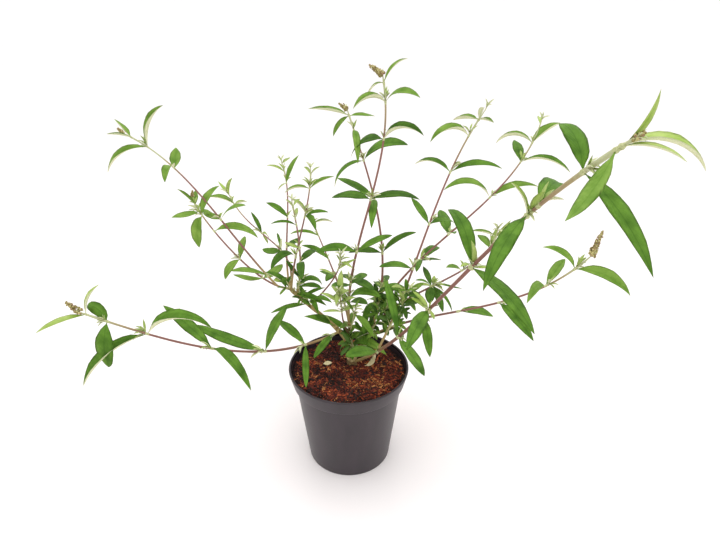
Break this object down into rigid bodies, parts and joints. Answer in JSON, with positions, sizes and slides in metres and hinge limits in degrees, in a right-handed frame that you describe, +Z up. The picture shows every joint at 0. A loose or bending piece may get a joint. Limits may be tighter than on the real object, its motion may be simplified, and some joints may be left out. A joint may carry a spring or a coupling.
{
  "type": "potted butterfly bush",
  "caption": "Young butterfly bush with long arching shoots, narrow opposite leaves and closed flower buds, growing in bark compost in a plain black nursery pot.",
  "frame": {"origin": "centre of the pot's flat underside, on the surface that the pot stands on", "axes": "+Z up along the pot's axis; +X to the plant's right and +Y to its back, as seen from the side that the long front bough leans towards; the front bough leans towards -Y and +X"},
  "size_m": [0.6773, 0.6106, 0.5987],
  "materials": {
    "pot_plastic": "satin black injection-moulded plastic",
    "bark_compost": "moist shredded bark and chips",
    "old_wood": "dry olive-brown bark",
    "young_stem": "smooth purplish-brown young bark, paler to the tips",
    "foliage": "narrow leaves, matt green above and pale felt beneath"
  },
  "bodies": {
    "root": {"pot": "pot_plastic", "root_ball": "bark_compost", "woody_crown": "old_wood", "left_limb": "old_wood", "centre_limb": "old_wood", "right_limb": "old_wood", "back_bough": "young_stem", "back_left_bough": "young_stem", "back_right_bough": "young_stem", "back_tall_bough": "young_stem", "centre_shoot": "young_stem", "front_right_bough": "young_stem", "high_right_bough": "young_stem", "inner_right_bough": "young_stem", "left_back_bough": "young_stem", "left_front_shoot": "young_stem", "left_high_bough": "young_stem", "left_inner_bough": "young_stem", "left_short_bough": "young_stem", "left_sprawling_bough": "young_stem", "low_back_bough": "young_stem", "low_right_bough": "young_stem", "tall_bough": "young_stem", "foliage_back_1": "foliage", "foliage_back_left_1": "foliage", "foliage_back_right_1": "foliage", "foliage_back_right_2": "foliage", "foliage_back_tall_1": "foliage", "foliage_back_tall_2": "foliage", "foliage_centre_1": "foliage", "foliage_centre_front": "foliage", "foliage_centre_right": "foliage", "foliage_front_right_1": "foliage", "foliage_front_right_2": "foliage", "foliage_front_right_3": "foliage", "foliage_front_right_4": "foliage", "foliage_high_right_1": "foliage", "foliage_high_right_2": "foliage", "foliage_inner_right_1": "foliage", "foliage_left_back_1": "foliage", "foliage_left_back_2": "foliage", "foliage_left_front_1": "foliage", "foliage_left_high_1": "foliage", "foliage_left_high_2": "foliage", "foliage_left_inner_1": "foliage", "foliage_left_limb": "foliage", "foliage_left_short_1": "foliage", "foliage_left_sprawling_1": "foliage", "foliage_left_sprawling_2": "foliage", "foliage_left_sprawling_3": "foliage", "foliage_low_back_1": "foliage", "foliage_low_front": "foliage", "foliage_low_right_1": "foliage", "foliage_low_right_2": "foliage", "foliage_right_inner": "foliage", "foliage_right_low": "foliage", "foliage_tall_1": "foliage", "foliage_tall_2": "foliage", "foliage_tall_3": "foliage"}
  },
  "joints": []
}
